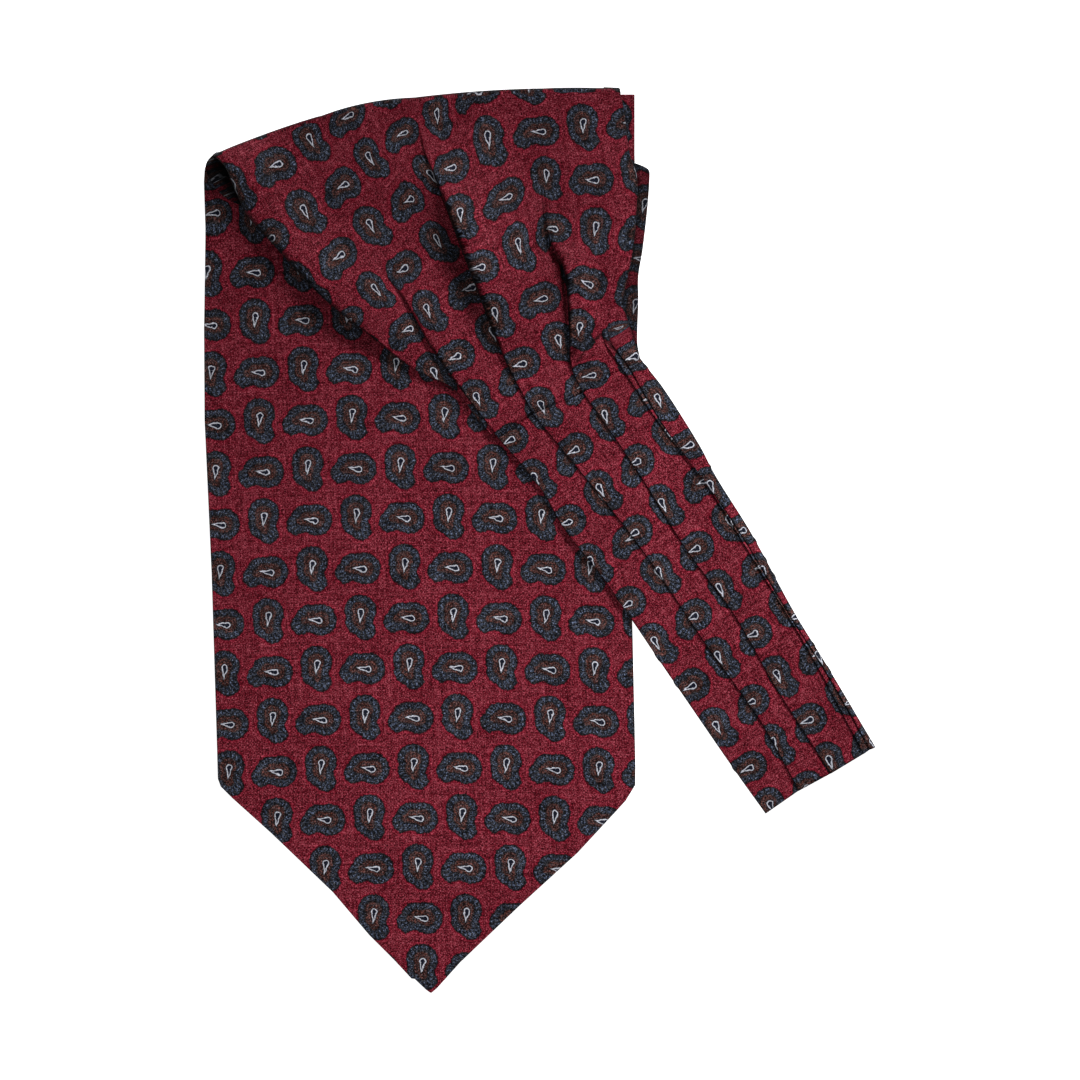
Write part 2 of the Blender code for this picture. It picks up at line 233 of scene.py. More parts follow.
# The gathered cloth inside the turned-over top at its left end, between the rim that shows and
# the line where it goes under the front fan.  x, y
GATHER_RIM = ((-125.3, 148.4), (-127.9, 145.6), (-128.7, 142.6), (-127.6, 139.6), (-125.8, 137.0),
              (-123.5, 133.5), (-119.5, 130.5), (-115.5, 128.5))
GATHER_UNDER = ((-122.5, 149.0), (-116.5, 143.0), (-112.5, 136.0), (-109.0, 128.0))
GATHER_FOLDS = 5.0
GATHER_ROWS = 40
GATHER_COLUMNS = 70
# Its clearance over the blade, the height of its swell and of its ripples, and how much of the
# painted shade in its hollow is taken off where it curls over, which paints the curl lit.
GATHER_CLEARANCE = 0.1
GATHER_SWELL = 1.1
GATHER_RIPPLE = 0.3
GATHER_CURL_PAINTED_LIGHT = 0.8

# How much painted shade darkens the back fan where it shows beside the front one, from 0 to 1.
FLAP_PAINTED_SHADE = 0.5

# The back fan's own print: one motif's place and how far its columns drift left going down.
FLAP_MOTIF = (39.1, 127.7)
FLAP_DRIFT = 0.09

# Where the front blade's print is drawn up and in towards the turned-over top: the place, how far
# it is drawn, and how far round it that reaches.
DRAWN_PLACE = (-124.0, 126.5)
DRAWN_BY = (3.2, 4.8)
DRAWN_REACH = 10.0


# ------------------------------------------------
# Curves and heights
# ------------------------------------------------

def ease(share):
    """0 to 1 with soft ends."""
    share = np.clip(share, 0.0, 1.0)
    return share * share * (3.0 - 2.0 * share)


class Route:
    """A smooth curve through a table's points: x, y and whatever else a row holds."""

    STEPS = 12

    def __init__(self, points):
        points = np.array(points, float)
        hops = np.linalg.norm(np.diff(points[:, :2], axis=0), axis=1)
        t = np.linspace(0.0, 1.0, self.STEPS, endpoint=False)[:, None]
        stretches = []
        for number, hop in enumerate(hops):
            start, end = points[number], points[number + 1]
            before = points[max(number - 1, 0)]
            after = points[min(number + 2, len(points) - 1)]
            into = (end - before) * hop / np.linalg.norm((end - before)[:2])
            out = (after - start) * hop / np.linalg.norm((after - start)[:2])
            stretches.append(start * (2 * t**3 - 3 * t**2 + 1) + into * (t**3 - 2 * t**2 + t)
                             + end * (3 * t**2 - 2 * t**3) + out * (t**3 - t**2))
        self.points = np.concatenate(stretches + [points[-1:]])
        self.hops = np.diff(self.points[:, :2], axis=0)
        self.walked = np.concatenate([[0.0], np.cumsum(np.linalg.norm(self.hops, axis=1))])
        self.length = self.walked[-1]

    def at(self, shares):
        """What the curve holds at shares of its length."""
        walked = np.asarray(shares) * self.length
        return np.stack([np.interp(walked, self.walked, held) for held in self.points.T], axis=-1)

    def nearest(self, places, open_ends):
        """The nearest stretch of the curve to each place, the part of the way along that
        stretch, and the distance from it, positive at the left of the way walked."""
        offset = places[:, None, :] - self.points[None, :-1, :2]
        straight = (offset * self.hops).sum(-1) / (self.hops ** 2).sum(-1)
        part = np.clip(straight, 0.0, 1.0)
        distance = np.linalg.norm(offset - part[..., None] * self.hops, axis=-1)
        best = distance.argmin(axis=1)
        each = np.arange(len(places))
        part, distance = part[each, best], distance[each, best]
        hop = self.hops[best]
        sideways = hop[:, 0] * offset[each, best, 1] - hop[:, 1] * offset[each, best, 0]
        if open_ends:
            straight = straight[each, best]
            beyond = ((best == 0) & (straight < 0.0)) | ((best == len(self.hops) - 1)
                                                          & (straight > 1.0))
            part = np.where(beyond, straight, part)
            distance = np.where(beyond, np.abs(sideways) / np.linalg.norm(hop, axis=1), distance)
        return best, part, distance * np.sign(sideways)


def lowered(x):
    """How far a layer has come down to the table at x."""
    return DROP * ease((x - BLADE_RIGHT_EDGE) / DROP_RUN)


MOTIF_ROUTES = {column: Route(points) for column, points in MOTIF_COLUMNS.items()}


def motif_count(column, places):
    """Cloth coordinates of places, counted from one column of motifs."""
    route = MOTIF_ROUTES[column]
    best, part, distance = route.nearest(places, open_ends=True)
    rows = route.points[:, 2]
    row = rows[best] + part * (rows[best + 1] - rows[best])
    return np.stack([column + distance / COLUMN_PITCH, -row], axis=-1)


def spread_count(places):
    """Cloth coordinates where the cloth isn't pleated: between two columns of motifs the count
    passes from one column's to the other's."""
    counted = [motif_count(column, places) for column in SPREAD_COLUMNS]
    spread = counted[0]
    for number in range(1, len(SPREAD_COLUMNS)):
        own, following = counted[number - 1], counted[number]
        past = np.maximum(own[:, 0] - SPREAD_COLUMNS[number - 1], 0.0)
        short = np.maximum(SPREAD_COLUMNS[number] - following[:, 0], 0.0)
        share = past / np.maximum(past + short, 1e-6)
        spread = spread + (following - own) * share[:, None]
    return spread


def strip_count(column, places, flat):
    """Cloth coordinates on a strip: its own column's count where it is folded at its edges, and
    the unpleated cloth's where it lies flat."""
    folded = motif_count(column, places)
    return folded + (spread_count(places) - folded) * flat[:, None]


# ------------------------------------------------
# Soft creases and swells: each is a ridge, or a trough where its height is negative, along a
# curve.  It keeps its height along the middle of the curve and fades towards both ends.
# ------------------------------------------------

# height, width, fade, then the points it runs through  (x, y)
FAN_CREASES = (
    # the loose left edge, which stands off the blade from the corner of the turned top on
    (2.8, 10.0, 0.0, ((-128.0, 151.0), (-120.0, 143.0))),
    (5.8, 15.0, 0.3, ((-142.0, 176.0), (-125.0, 152.0), (-110.0, 129.0), (-96.0, 109.0),
                      (-72.0, 88.0), (-44.0, 68.0))),
    (1.4, 26.0, 0.4, ((-100.0, 160.0), (-78.0, 138.0), (-58.0, 112.0), (-40.0, 86.0))),
    # the soft crease that the second strip's pleat grows out of
    (-1.3, 3.6, 0.35, ((-66.0, 118.0), (-56.0, 98.0), (-44.0, 77.0), (-33.0, 61.0))),
    (1.2, 10.0, 0.3, ((-72.0, 122.0), (-60.0, 100.0), (-46.0, 77.0), (-32.0, 57.0))),
    # the ridge that the long pleat grows out of
    (3.6, 9.5, 0.35, ((-43.0, 156.0), (-38.0, 136.0), (-28.0, 110.0), (-18.0, 88.0),
                      (-9.0, 68.0))),
    # the fine crease above the middle pleat, and the narrow lit ridge at its right
    (-0.5, 1.0, 0.3, ((-0.5, 136.0), (0.8, 124.0), (1.8, 114.0), (4.6, 109.6), (7.4, 105.5),
                      (8.6, 98.0))),
    (0.7, 6.0, 0.3, ((-0.5, 142.0), (1.5, 120.0), (6.0, 106.0), (9.0, 90.0))),
    (0.8, 1.6, 0.3, ((2.4, 134.0), (3.6, 121.0), (5.8, 113.5), (9.4, 108.0), (11.2, 101.0))),
    # the puffs at both sides of the crease that runs from the right edge to the middle pleat
    (1.2, 2.2, 0.25, ((25.0, 76.0), (21.6, 73.4), (17.6, 69.4), (15.0, 66.0))),
    (2.2, 1.9, 0.25, ((23.5, 87.5), (20.5, 83.5), (16.4, 78.6), (13.0, 74.2), (11.0, 70.8))),
    # the cloth that rises from the middle pleat towards the right edge
    (2.6, 11.0, 0.3, ((26.0, 158.0), (27.0, 134.0), (26.5, 110.0), (25.0, 88.0))),
    # the fold along the top, which stands a little higher than the cloth below it
    (1.3, 14.0, 0.15, ((-92.0, 164.0), (-50.0, 173.0), (-5.0, 177.0), (36.0, 177.0))),
    # faint swells of the cloth in its turned-over top
    (0.7, 9.0, 0.4, ((-64.0, 166.0), (-58.0, 146.0), (-47.0, 122.0))),
    (0.6, 11.0, 0.4, ((-28.0, 171.0), (-24.0, 150.0), (-14.0, 118.0))),
    (-0.5, 7.0, 0.4, ((-12.0, 172.0), (-9.0, 152.0), (-3.0, 132.0))),
    (0.6, 8.0, 0.4, ((14.0, 170.0), (12.0, 146.0), (13.0, 122.0))),
    (-0.4, 5.0, 0.4, ((-94.0, 150.0), (-84.0, 132.0), (-70.0, 112.0))),
)


# Painted shade on the front fan where a pinched valley lies dark.  It darkens the cloth's colour and
# doesn't move it.  x, y, half width, darkness from 0 to 1
FAN_PAINTED_PINCHES = (
    # the valley that the middle pleat grows out of, and the shade at both its sides
    ((-0.6, 138.0, 0.3, 0.0), (0.6, 130.0, 0.35, 0.45), (1.9, 114.0, 0.45, 0.6),
     (4.6, 109.8, 0.7, 0.8), (7.4, 105.8, 1.05, 1.0), (8.5, 98.0, 0.95, 0.95),
     (9.2, 90.7, 0.6, 0.8), (9.7, 83.7, 0.4, 0.7),
     (10.3, 74.6, 0.4, 0.7), (11.2, 66.0, 0.4, 0.5)),
    ((0.4, 146.0, 3.0, 0.0), (1.0, 130.0, 4.5, 0.2), (3.0, 114.0, 5.0, 0.28), (8.0, 104.0, 4.5, 0.28),
     (9.4, 92.0, 4.0, 0.22), (10.4, 78.0, 3.5, 0.16), (12.0, 64.0, 2.5, 0.0)),
    # the crease that runs from the right edge down to it, with a finer one above
    ((25.2, 80.9, 0.4, 0.6), (23.2, 79.1, 0.7, 1.0), (19.7, 75.9, 0.65, 1.0), (16.7, 72.3, 0.6, 0.95),
     (14.2, 69.0, 0.5, 0.8), (12.0, 65.6, 0.45, 0.5)),
    ((22.6, 87.0, 0.3, 0.0), (21.2, 84.4, 0.4, 0.4), (18.7, 79.4, 0.4, 0.5), (14.7, 74.8, 0.4, 0.5),
     (11.9, 70.5, 0.4, 0.4), (11.4, 66.0, 0.35, 0.0)),
    # the start of the two pleats at the right edge
    ((22.6, 79.6, 0.4, 0.6), (25.0, 77.0, 0.9, 0.85), (27.0, 74.5, 0.9, 0.85), (29.3, 71.4, 0.6, 0.7),
     (31.8, 66.9, 0.4, 0.5)),
    # the shade at the left of the long pleat's ridge
    ((-48.0, 147.0, 2.0, 0.0), (-43.5, 132.0, 3.2, 0.25), (-36.5, 113.0, 4.2, 0.5),
     (-31.0, 98.0, 3.8, 0.5), (-23.5, 82.0, 2.6, 0.25), (-16.0, 66.0, 2.0, 0.0)),
)

# On the front blade, which is drawn up into the turned-over top at its upper left.
BLADE_CREASES = (
    (1.9, 15.0, 0.3, ((-140.0, 160.0), (-112.0, 124.0), (-92.0, 101.0), (-72.0, 84.0))),
    (0.5, 16.0, 0.4, ((-120.0, 60.0), (-90.0, 30.0), (-60.0, 10.0))),
    (0.4, 12.0, 0.4, ((-104.0, 20.0), (-96.0, -20.0), (-98.0, -70.0))),
    (0.5, 14.0, 0.4, ((-60.0, 30.0), (-40.0, -20.0), (-44.0, -80.0))),
    (0.4, 13.0, 0.4, ((10.0, -20.0), (4.0, -60.0), (-10.0, -100.0))),
    (0.4, 15.0, 0.4, ((-96.0, -100.0), (-60.0, -120.0), (-30.0, -110.0))),
)


def crease_lift(creases, places):
    """Height that the creases add at each place."""
    lift = np.zeros(len(places))
    for height, width, fade, points in creases:
        route = Route(points)
        best, part, distance = route.nearest(places, open_ends=False)
        share = (route.walked[best] + part * np.diff(route.walked)[best]) / route.length
        ends = ease(share / fade) * ease((1.0 - share) / fade) if fade > 0.0 else 1.0
        lift += height * ends * np.exp(-((distance / width) ** 2))
    return lift


def lift_over(creases, places):
    """The creases' lift over a grid of places."""
    return crease_lift(creases, places[..., :2].reshape(-1, 2)).reshape(places.shape[:2])


def painted_pinch_shade(pinches, places):
    """How much painted shade the pinches give each place of a grid, from 0 to 1."""
    flat = places[..., :2].reshape(-1, 2)
    deepest = np.zeros(len(flat))
    for points in pinches:
        route = Route(points)
        best, part, distance = route.nearest(flat, open_ends=False)
        held = route.points[best] + part[:, None] * (route.points[best + 1] - route.points[best])
        deepest = np.maximum(deepest, held[:, 3] * np.exp(-((distance / held[:, 2]) ** 2)))
    return deepest.reshape(places.shape[:2])


# ------------------------------------------------
# Meshes
# ------------------------------------------------

def cloth_mesh(name, places, counts, painted_shades):
    """A sheet through a grid of places, with its cloth coordinates and the painted shade that each
    point takes for lying deep in a fold.  Rows run down the sheet."""
    rows, columns = places.shape[:2]
    bm = bmesh.new()
    bmesh.ops.create_grid(bm, x_segments=columns - 1, y_segments=rows - 1, size=0.5)
    bm.verts.sort(key=lambda vert: vert.co.x * (columns - 1) - vert.co.y * (rows - 1) * columns)
    bm.verts.index_update()
    places = places.reshape(-1, 3)
    counts = counts.reshape(-1, 2)
    painted_shades = painted_shades.reshape(-1)
    # painted shade, kept in an attribute that darkens the silk's colour
    depth = bm.verts.layers.float.new("painted_shade")
    for vert in bm.verts:
        vert.co = Vector(places[vert.index]) * MM
        vert[depth] = painted_shades[vert.index]
    cloth = bm.loops.layers.uv.new("cloth")
    for face in bm.faces:
        face.smooth = True
        for loop in face.loops:
            loop[cloth].uv = counts[loop.vert.index]
    mesh = bpy.data.meshes.new(name)
    bm.to_mesh(mesh)
    bm.free()
    thing = bpy.data.objects.new(name, mesh)
    bpy.context.collection.objects.link(thing)
    return thing


def thicken(thing, thickness):
    """Give a sheet its thickness, downwards from the face it was drawn on."""
    wall = thing.modifiers.new("wall", "SOLIDIFY")
    wall.thickness = thickness * MM
    wall.offset = -1.0


def half_turn(steps):
    """Angles of a half circle from straight down to straight up."""
    return np.linspace(-0.5 * math.pi, 0.5 * math.pi, steps)


def painted_roll_shade(angle):
    """Painted shade for a point of a rolled edge: 0 on top, 1 at the side and below."""
    return 1.0 - max(math.sin(angle), 0.0) ** 4


def strip_columns(lines, strips, shares, left_roll):
    """Every column of a pleated sheet, as arrays over its rows: place, height, cloth count and
    the painted shade of lying deep in a fold, from 0 to 1.

    A column's height is measured from the flat lie of the sheet.  The left edge is rolled under
    by the radius "left_roll", which changes down the sheet, and the right edge tightly.
    """
    columns = []
    counts = []
    painted_shades = []

    def add(place, height, count, painted_shade=0.0):
        columns.append(np.column_stack([place, height]))
        counts.append(count)
        painted_shades.append(np.broadcast_to(painted_shade, len(shares)))

    routes = {name: Route(points) for name, points in lines.items()}
    formings = []
    for *_, start, full, _, _ in strips:
        if full == 0.0:
            formings.append(np.ones(len(shares)))
        else:
            formings.append(ease((shares - start) / (full - start)))
    none = np.zeros(len(shares))
    earlier = None
    for number, strip in enumerate(strips):
        left_name, right_name, steps, motif_column, bow, start, full, puff, skew = strip
        last_strip = number == len(strips) - 1
        left = routes[left_name].at(shares)
        right = routes[right_name].at(shares)
        width = np.linalg.norm(right - left, axis=1)
        reach = width - EDGE_ROLL if last_strip else width
        across = (right - left) / width[:, None]
        outward = np.column_stack([-across[:, 1], across[:, 0]])
        formed = formings[number]
        right_flat = 1.0 - formings[number if last_strip else number + 1]
        left_flat = right_flat if earlier is None else 1.0 - formed
        flat = 1.0 - formed
        loose = np.clip((shares - start) / (1.0 - start), 0.0, 1.0) if start < 1.0 else none
        height = PLEAT_HEIGHT * formed + puff * np.sin(math.pi * loose ** skew) ** 2
        roll = (height - PLEAT_SPACE) / 2.0
        if earlier is None:
            height = none
            first = left_roll
        else:
            first = roll * formed + PLEAT_START_WIDTH * flat

        def part_of(x):
            return np.clip((x - first) / (reach - first), 0.0, 1.0)

        def surface(x):
            return height * (1.0 - part_of(x) ** 1.6)

        own_left = strip_count(motif_column, left + across * first[:, None], left_flat)
        if earlier is None:
            # the left edge, rolled under
            for under in (6.0, 3.0):
                add(left + across * under, -2.0 * left_roll, own_left, 1.0)
            for angle in half_turn(9):
                x = left_roll * (1.0 - math.cos(angle))
                place = left + across * x[:, None]
                add(place, left_roll * (math.sin(angle) - 1.0),
                    strip_count(motif_column, place, left_flat), painted_roll_shade(angle))
        else:
            depth = np.minimum(PLEAT_DEPTH * formed, PLEAT_SHARE_OF_STRIP * width)
            # x, height and share of the hidden way, for the run under, the turn and the return
            folded = []
            for part, share, above in ((0.3, 0.15, 0.0), (0.95, 0.47, 0.0), (1.0, 0.5, 0.5),
                                       (0.95, 0.53, 1.0), (0.3, 0.85, 1.0)):
                lowest = surface(depth * part) - 2.0 * PLY - PLEAT_SPACE
                folded.append((depth * part, np.minimum(lowest, 0.0) + above * PLEAT_SPACE, share,
                               1.0))
            for turn, angle in enumerate(half_turn(9)):
                folded.append((roll * (1.0 - math.cos(angle)),
                               PLEAT_SPACE + roll * (1.0 + math.sin(angle)), 0.96 + 0.005 * turn,
                               painted_roll_shade(angle)))
            for turn, (x, z, share, painted_shade) in enumerate(folded, start=1):
                even = turn / len(folded)
                x = x * formed + first * even * flat
                z = z * formed + height * ease(even) * flat
                share = (share * formed + even * flat)[:, None]
                add(left + across * x[:, None], z, earlier + (own_left - earlier) * share,
                    painted_shade * formed)
        for step in range(1, steps + 1):
            part = 1.0 - (1.0 - step / steps) ** 1.3
            x = first + (reach - first) * part
            place = left + across * x[:, None]
            place += outward * (bow * 4.0 * part * (1.0 - part) * (1.0 - shares) ** 2)[:, None]
            here_flat = left_flat + (right_flat - left_flat) * part
            # the last column of a strip takes painted shade under the next fold
            painted_shade_beside = 0.0 if last_strip or step < steps else formings[number + 1]
            add(place, surface(x), strip_count(motif_column, place, here_flat), painted_shade_beside)
        earlier = strip_count(motif_column, right, right_flat)
        if last_strip:
            # painted shade on the last strip's right edge and over its roll
            painted_shades[-1] = np.full(len(shares), 0.7)
            for angle in half_turn(9)[::-1]:
                x = width - EDGE_ROLL * (1.0 - math.cos(angle))
                place = left + across * x[:, None]
                height = np.full(len(shares), EDGE_ROLL * (math.sin(angle) - 1.0))
                add(place, height, strip_count(motif_column, place, right_flat),
                    painted_roll_shade(angle))
            for under in (3.0, 6.0):
                add(right - across * under, np.full(len(shares), -2.0 * EDGE_ROLL), earlier, 1.0)
    return np.stack(columns, axis=1), np.stack(counts, axis=1), np.stack(painted_shades, axis=1)


def turned_rows(places, counts, inward_row, depth, low, steps=11):
    """Rows that carry a sheet's first row round and under itself, down to the height "low"."""
    edge = places[0, :, :2]
    inward = places[inward_row, :, :2] - edge
    inward /= np.maximum(np.linalg.norm(inward, axis=1), 1e-9)[:, None]
    high = places[0, :, 2]
    middle, half = (high + low) / 2.0, (high - low) / 2.0
    rows, row_counts, row_painted_shades = [], [], []
    for angle in half_turn(steps):
        place = edge + inward * (depth * (1.0 - math.cos(angle)))
        rows.append(np.column_stack([place, middle + half * math.sin(angle)]))
        back = depth * (math.sin(angle) - 1.0) * 1.2 / ROW_PITCH
        row_counts.append(counts[0] - np.array([0.0, back]))
        # the turned rows take painted shade as they roll under
        row_painted_shades.append(np.full(len(edge), painted_roll_shade(angle)))
    return np.stack(rows), np.stack(row_counts), np.stack(row_painted_shades)


def fan_front():
    shares = np.linspace(0.0, 1.0, ROWS)
    roll = 0.7 + 1.7 * ease(shares / 0.2) - 2.02 * ease((shares - 0.3) / 0.5)
    places, counts, painted_shades = strip_columns(FAN_LINES, FAN_STRIPS, shares, roll)
    # painted shade in the pinched valleys
    painted_shades = np.maximum(painted_shades, painted_pinch_shade(FAN_PAINTED_PINCHES, places))
    settle = ease((1.0 - shares) / 0.05)
    places[..., 2] += FAN_FRONT_Z + lift_over(FAN_CREASES, places) * settle[:, None]
    # it rests on the back fan, which rises with the blade
    rest = FAN_BACK_Z + PLY + lift_over(BLADE_CREASES, places)
    places[..., 2] = np.maximum(places[..., 2], rest)
    # down into the stitching of the seam, under the neckband's edge
    onward = places[-1, :, :2] - places[-2, :, :2]
    places[-1, :, :2] += SEAM_LAP * onward / np.linalg.norm(onward, axis=1)[:, None]
    places[-2:, :, 2] -= np.array(SEAM_SINK)[:, None]
    # painted shade in the seam's groove, along its left part
    painted_shades[-2] = np.maximum(painted_shades[-2], 0.55 * (1.0 - ease((places[-2, :, 0] + 8.0) / 20.0)))
    inner = int(len(shares) * 0.03)
    # the turned top takes painted shade as it rolls under
    turned, turned_counts, turned_painted_shades = turned_rows(places, counts, inner, TURN_DEPTH, PLY)
    keep = shares > TURN_DEPTH / FAN_LENGTH
    places = np.concatenate([turned, places[keep]])
    counts = np.concatenate([turned_counts, counts[keep]])
    painted_shades = np.concatenate([np.maximum(turned_painted_shades, painted_shades[:1]), painted_shades[keep]])
    return cloth_mesh("fan_front_silk", places, counts, painted_shades)


def neckband_columns():
    """The pleated neckband, its heights measured from its flat lie."""
    shares = np.linspace(*NECKBAND_SPAN, ROWS)
    roll = np.full(len(shares), EDGE_ROLL)
    return strip_columns(NECKBAND_LINES, NECKBAND_STRIPS, shares, roll)


def neckband_front():
    places, counts, painted_shades = neckband_columns()
    places[..., 2] += NECKBAND_FRONT_Z - lowered(places[..., 0])
    return cloth_mesh("neckband_front_silk", places, counts, painted_shades)


def fan_back():
    shares = np.linspace(0.0, 1.0, FAN_BACK_ROWS)
    roll = np.full(len(shares), EDGE_ROLL)
    places, counts, painted_shades = strip_columns(FAN_BACK_LINES, FAN_BACK_STRIPS, shares, roll)
    places[..., 2] += FAN_BACK_Z + lift_over(BLADE_CREASES, places)
    down = FLAP_MOTIF[1] - places[..., 1]
    across = places[..., 0] - FLAP_MOTIF[0] + FLAP_DRIFT * down
    counts = np.stack([across / COLUMN_PITCH, -down / ROW_PITCH], axis=-1)
    # painted shade over the back fan, darkest along the front fan's edge
    painted_shade_beside = [(x + 0.4, y, 0.7, 0.95) for x, y in FAN_LINES["right"]]
    painted_shades = np.maximum(np.maximum(painted_shades, FLAP_PAINTED_SHADE), painted_pinch_shade([painted_shade_beside], places))
    return cloth_mesh("fan_back_silk", places, counts, painted_shades)


def neckband_back():
    """The hidden half.  The runs under its pleats all lie in one plane, so they pass through
    one another."""
    places, counts, painted_shades = neckband_columns()
    places[..., 2] = NECKBAND_BACK_Z - lowered(places[..., 0])
    return cloth_mesh("neckband_back_silk", places, counts, painted_shades)


def turn_gather():
    """The gathered cloth that shows inside the turned-over top at its left end.  Its print is
    drawn together across the gathers, so it comes out as streaks."""
    downs = np.linspace(0.0, 1.0, GATHER_ROWS)[:, None]
    acrosses = np.linspace(0.0, 1.0, GATHER_COLUMNS)[None, :]
    rim = Route(GATHER_RIM).at(downs[:, 0])[:, None, :]
    under = Route(GATHER_UNDER).at(downs[:, 0])[:, None, :]
    place = rim + (under - rim) * acrosses[..., None]
    ripple = np.sin(2.0 * math.pi * GATHER_FOLDS * (downs ** 0.85 + 0.12 * acrosses))
    swell = np.sin(math.pi * np.clip(acrosses * 1.6, 0.0, 1.0)) ** 2
    fall = 1.0 - ease(downs / 0.75)
    lift = lift_over(BLADE_CREASES, place)
    height = (BLADE_FRONT_Z + BLADE + PLY + GATHER_CLEARANCE + lift + GATHER_SWELL * swell * fall
              + GATHER_RIPPLE * (1.0 + ripple) * ease(acrosses / 0.2) * (1.0 - 0.8 * downs))
    u = 3.4 * downs + 0.3 * acrosses - 0.5
    v = np.broadcast_to(0.16 * acrosses - 0.05, u.shape)
    places = np.concatenate([place, height[..., None]], axis=-1)
    counts = np.stack([u, v], axis=-1)
    # painted shade in the gather's hollow, deeper away from the rim and between ripples, and painted
    # light where it curls over
    depth = 0.6 + 0.4 * ease((acrosses - 0.12) / 0.3) - 0.25 * ripple * (1.0 - ease(downs / 0.6))
    painted_curl_light = np.exp(-((downs - 0.62) / 0.16) ** 2) * (1.0 - ease((acrosses - 0.1) / 0.3))
    depth = depth - GATHER_CURL_PAINTED_LIGHT * painted_curl_light
    return cloth_mesh("turn_gather_silk", places, counts, np.clip(depth, 0.0, 1.0))


def blade(name, left, right, base, creases=()):
    """A self-lined blade between its left and right edges, from its top to its point."""
    left = np.array(left)
    right = np.array(right)
    top = min(left[0, 1], right[0, 1])
    bottom = max(left[-1, 1], right[-1, 1])
    heights = np.union1d(np.arange(bottom, top, BLADE_ROW_STEP),
                         np.concatenate([left[:, 1], right[:, 1]]))
    heights = heights[(heights >= bottom) & (heights <= top)][::-1]
    left_x = np.interp(-heights, -left[:, 1], left[:, 0])
    right_x = np.interp(-heights, -right[:, 1], right[:, 0])
    parts = np.sort(np.append(np.linspace(0.0, 1.0, BLADE_COLUMNS), BLADE_HEM))
    x = left_x[:, None] + (right_x - left_x)[:, None] * parts[None, :]
    y = np.repeat(heights[:, None], len(parts), axis=1)
    z = base + BLADE + lift_over(creases, np.stack([x, y], axis=-1))
    # the print, drawn up near the turned-over top
    drawn = np.exp(-((x - DRAWN_PLACE[0]) ** 2 + (y - DRAWN_PLACE[1]) ** 2) / DRAWN_REACH ** 2)
    along = x - DRAWN_BY[0] * drawn
    down = BLADE_MOTIF[1] - y + DRAWN_BY[1] * drawn
    u = (along - BLADE_MOTIF[0] - BLADE_DRIFT * down) / BLADE_COLUMN_PITCH
    bow = BLADE_BOW * ((x - BLADE_BOW_CENTRE) ** 2 - (BLADE_MOTIF[0] - BLADE_BOW_CENTRE) ** 2)
    v = -(down - bow) / BLADE_ROW_PITCH
    # painted shade along both edges of the blade
    painted_shades = np.zeros_like(x)
    painted_shades[:, (0, -1)] = 1.0
    thing = cloth_mesh(name, np.stack([x, y, z], axis=-1), np.stack([u, v], axis=-1), painted_shades)
    thicken(thing, BLADE)
    edge = thing.modifiers.new("edge", "BEVEL")
    edge.width = BLADE_ROUNDING * MM
    edge.segments = 3
    edge.limit_method = "ANGLE"
    edge.angle_limit = math.radians(50.0)
    return thing


# ------------------------------------------------
# Silk
# ------------------------------------------------

def linear(red, green, blue):
    """A colour given as it looks on a screen, 0 to 255, as light."""
    light = []
    for value in (red, green, blue):
        value /= 255.0
        light.append(value / 12.92 if value <= 0.04045 else ((value + 0.055) / 1.055) ** 2.4)
    return (*light, 1.0)


GROUND = linear(105, 3, 26)
OUTLINE = linear(9, 10, 14)
RING = linear(11, 11, 17)
PETAL = linear(79, 91, 117)
BROWN = linear(36, 17, 15)
RUST = linear(92, 44, 33)
EYE = linear(200, 201, 212)
PUPIL = linear(13, 18, 34)

# How much the threads darken and lighten whatever is printed on them, and the paleness of those
# brighter than THREAD_MIDDLE.  Deep in a fold painted shade darkens the colour, down to the last
# share here.
THREAD_DARK = 0.12
THREAD_BRIGHT = 4.0
THREAD_MIDDLE = 1.1
THREAD_PALE = 0.052
PAINTED_SHADE_FLOOR = 0.12


class Value:
    """A number or colour on a node tree, so that shader maths reads as plain arithmetic."""

    def __init__(self, finish, socket):
        self.finish = finish
        self.socket = socket

    def maths(self, operation, *others, swap=False):
        terms = [self, *others]
        if swap:
            terms.reverse()
        return self.finish.node("ShaderNodeMath", {"operation": operation}, dict(enumerate(terms)))

    def __add__(self, other):
        return self.maths("ADD", other)

    __radd__ = __add__

    def __sub__(self, other):
        return self.maths("SUBTRACT", other)

    def __rsub__(self, other):
        return self.maths("SUBTRACT", other, swap=True)

    def __mul__(self, other):
        return self.maths("MULTIPLY", other)

    __rmul__ = __mul__

    def __truediv__(self, other):
        return self.maths("DIVIDE", other)

    def __neg__(self):
        return self.maths("MULTIPLY", -1.0)

    def __abs__(self):
        return self.maths("ABSOLUTE")

    def rounded(self):
        return self.maths("ROUND")

    def below(self, other):
        return self.maths("LESS_THAN", other)

    def lower(self, other):
        return self.maths("MINIMUM", other)

    def higher(self, other):
        return self.maths("MAXIMUM", other)

    def sine(self):
        return self.maths("SINE")

    def soft_lower(self, other, softness):
        return self.maths("SMOOTH_MIN", other, softness)

    def rise(self, low, high):
        """0 below "low", 1 above "high", soft in between."""
        return self.finish.node("ShaderNodeMapRange", {"interpolation_type": "SMOOTHSTEP"},
                                {"From Min": low, "From Max": high, "Value": self}, "Result")

    def within(self, low, high, soft):
        """1 between two values, 0 outside them."""
        return self.rise(low - soft, low + soft) * (1.0 - self.rise(high - soft, high + soft))


